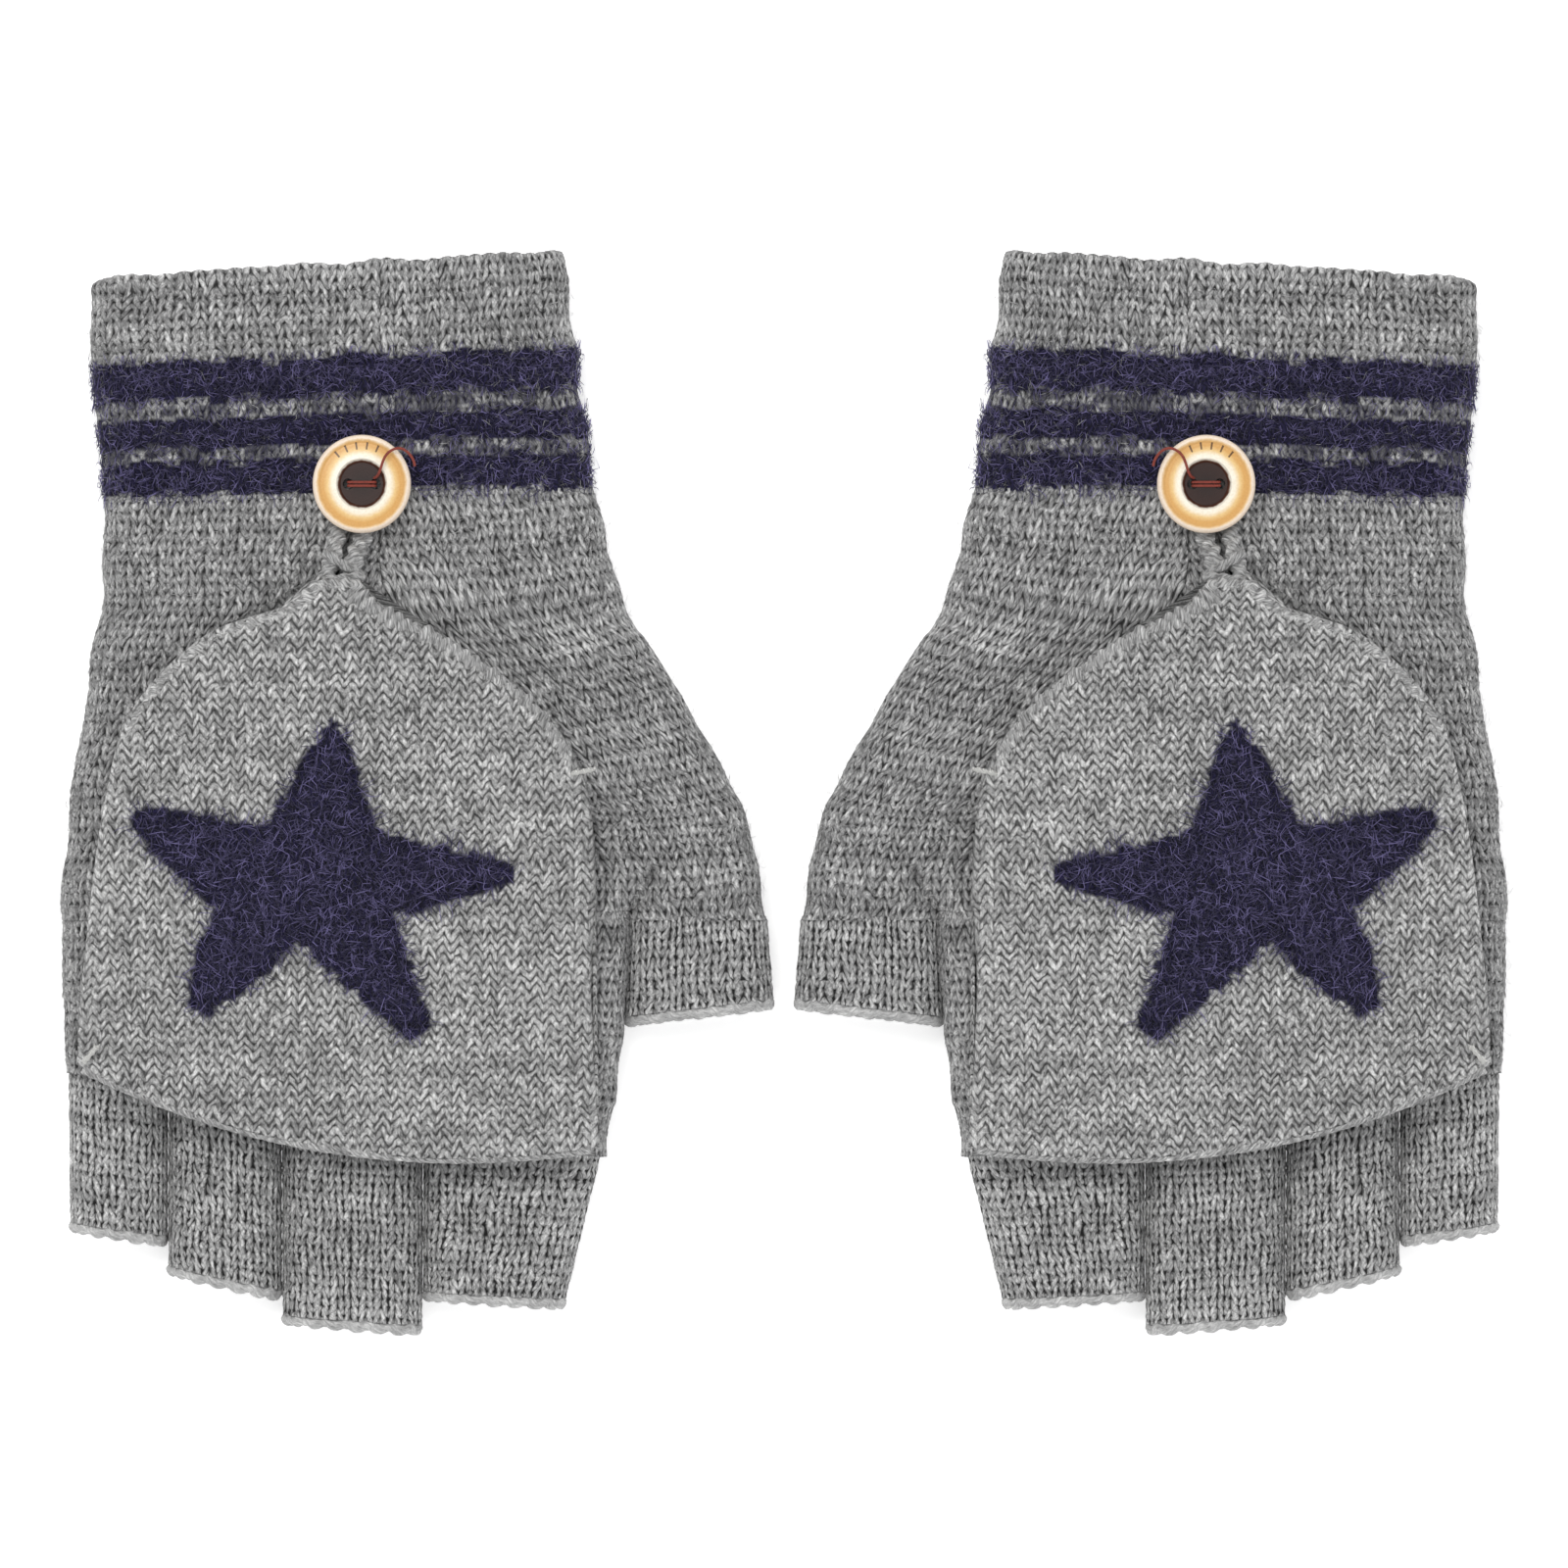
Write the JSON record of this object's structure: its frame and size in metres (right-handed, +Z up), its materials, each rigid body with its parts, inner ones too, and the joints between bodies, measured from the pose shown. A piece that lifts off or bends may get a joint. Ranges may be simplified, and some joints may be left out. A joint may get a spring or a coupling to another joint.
{
  "type": "convertible mittens",
  "caption": "Pair of knitted half-finger gloves with a mitten hood on each, folded back and held by a loop round a wrist button.",
  "frame": {"origin": "middle of the pair's footprint, on the table they lie on", "axes": "+Z up from the table through the back of the hand, +Y from the fingertips to the cuffs, +X across the pair from the right-hand mitten to the left-hand one"},
  "size_m": [0.2664, 0.1998, 0.0266],
  "materials": {
    "grey_knit": "knitted melange yarn",
    "linking_yarn": "linked yarn",
    "pale_edge": "bound-off yarn",
    "navy_pile": "brushed yarn",
    "tack_thread": "thread",
    "red_thread": "thread",
    "resin": "glazed"
  },
  "bodies": {
    "hands": {"right_cuff_welt": "grey_knit", "right_striped_cuff": "grey_knit", "right_cuff_pile": "navy_pile", "right_palm_body": "grey_knit", "right_knuckle_body": "grey_knit", "right_attachment_seam": "linking_yarn", "right_thread_shank": "red_thread", "left_cuff_welt": "grey_knit", "left_striped_cuff": "grey_knit", "left_cuff_pile": "navy_pile", "left_palm_body": "grey_knit", "left_knuckle_body": "grey_knit", "left_attachment_seam": "linking_yarn", "left_thread_shank": "red_thread"},
    "right_hood": {"right_hood_under_layer": "grey_knit", "right_hood_rim": "grey_knit", "right_hood_top_layer": "grey_knit", "right_mouth_hem": "pale_edge", "right_tip_seam": "linking_yarn", "right_star_pile": "navy_pile", "right_corner_tacks": "tack_thread", "right_button_loop": "linking_yarn"},
    "right_button": {"right_button": "resin", "right_button_stitches": "red_thread", "right_thread_tail": "red_thread"},
    "right_thumb": {"right_thumb_sleeve": "grey_knit", "right_thumb_edge": "pale_edge"},
    "right_little": {"right_little_sleeve": "grey_knit", "right_little_edge": "pale_edge"},
    "right_ring": {"right_ring_sleeve": "grey_knit", "right_ring_edge": "pale_edge"},
    "right_middle": {"right_middle_sleeve": "grey_knit", "right_middle_edge": "pale_edge"},
    "right_index": {"right_index_sleeve": "grey_knit", "right_index_edge": "pale_edge"},
    "left_hood": {"left_hood_under_layer": "grey_knit", "left_hood_rim": "grey_knit", "left_hood_top_layer": "grey_knit", "left_mouth_hem": "pale_edge", "left_tip_seam": "linking_yarn", "left_star_pile": "navy_pile", "left_corner_tacks": "tack_thread", "left_button_loop": "linking_yarn"},
    "left_button": {"left_button": "resin", "left_button_stitches": "red_thread", "left_thread_tail": "red_thread"},
    "left_thumb": {"left_thumb_sleeve": "grey_knit", "left_thumb_edge": "pale_edge"},
    "left_little": {"left_little_sleeve": "grey_knit", "left_little_edge": "pale_edge"},
    "left_ring": {"left_ring_sleeve": "grey_knit", "left_ring_edge": "pale_edge"},
    "left_middle": {"left_middle_sleeve": "grey_knit", "left_middle_edge": "pale_edge"},
    "left_index": {"left_index_sleeve": "grey_knit", "left_index_edge": "pale_edge"}
  },
  "joints": [
    {"name": "right_hood_flip", "type": "hinge", "parent": "hands", "child": "right_hood", "pos_m": [-0.13071, -0.05424, 0.0215], "axis": [0.9876, -0.1571, 0], "range_deg": [0, 180], "deforming": ["right_button_loop"]},
    {"name": "right_button_turn", "type": "hinge", "parent": "hands", "child": "right_button", "pos_m": [-0.0774, 0.0566, 0.01825], "axis": [0, 0, 1], "range_deg": [-30, 30]},
    {"name": "right_little_curl", "type": "hinge", "parent": "hands", "child": "right_little", "pos_m": [-0.1228, -0.05381, 0], "axis": [1, 0, 0], "range_deg": [0, 60]},
    {"name": "right_ring_curl", "type": "hinge", "parent": "hands", "child": "right_ring", "pos_m": [-0.1031, -0.05713, 0], "axis": [1, 0, 0], "range_deg": [0, 60]},
    {"name": "right_middle_curl", "type": "hinge", "parent": "hands", "child": "right_middle", "pos_m": [-0.0796, -0.06128, 0], "axis": [1, 0, 0], "range_deg": [0, 60]},
    {"name": "right_index_curl", "type": "hinge", "parent": "hands", "child": "right_index", "pos_m": [-0.04965, -0.06666, 0], "axis": [1, 0, 0], "range_deg": [0, 60]},
    {"name": "right_thumb_curl", "type": "hinge", "parent": "hands", "child": "right_thumb", "pos_m": [-0.0161, -0.023, 0], "axis": [1, 0, 0], "range_deg": [0, 50]},
    {"name": "left_hood_flip", "type": "hinge", "parent": "hands", "child": "left_hood", "pos_m": [0.13071, -0.05424, 0.0215], "axis": [0.9876, 0.1571, 0], "range_deg": [0, 180], "deforming": ["left_button_loop"]},
    {"name": "left_button_turn", "type": "hinge", "parent": "hands", "child": "left_button", "pos_m": [0.0774, 0.0566, 0.01825], "axis": [0, 0, 1], "range_deg": [-30, 30]},
    {"name": "left_little_curl", "type": "hinge", "parent": "hands", "child": "left_little", "pos_m": [0.1228, -0.05381, 0], "axis": [1, 0, 0], "range_deg": [0, 60]},
    {"name": "left_ring_curl", "type": "hinge", "parent": "hands", "child": "left_ring", "pos_m": [0.1031, -0.05713, 0], "axis": [1, 0, 0], "range_deg": [0, 60]},
    {"name": "left_middle_curl", "type": "hinge", "parent": "hands", "child": "left_middle", "pos_m": [0.0796, -0.06128, 0], "axis": [1, 0, 0], "range_deg": [0, 60]},
    {"name": "left_index_curl", "type": "hinge", "parent": "hands", "child": "left_index", "pos_m": [0.04965, -0.06666, 0], "axis": [1, 0, 0], "range_deg": [0, 60]},
    {"name": "left_thumb_curl", "type": "hinge", "parent": "hands", "child": "left_thumb", "pos_m": [0.0161, -0.023, 0], "axis": [1, 0, 0], "range_deg": [0, 50]}
  ]
}
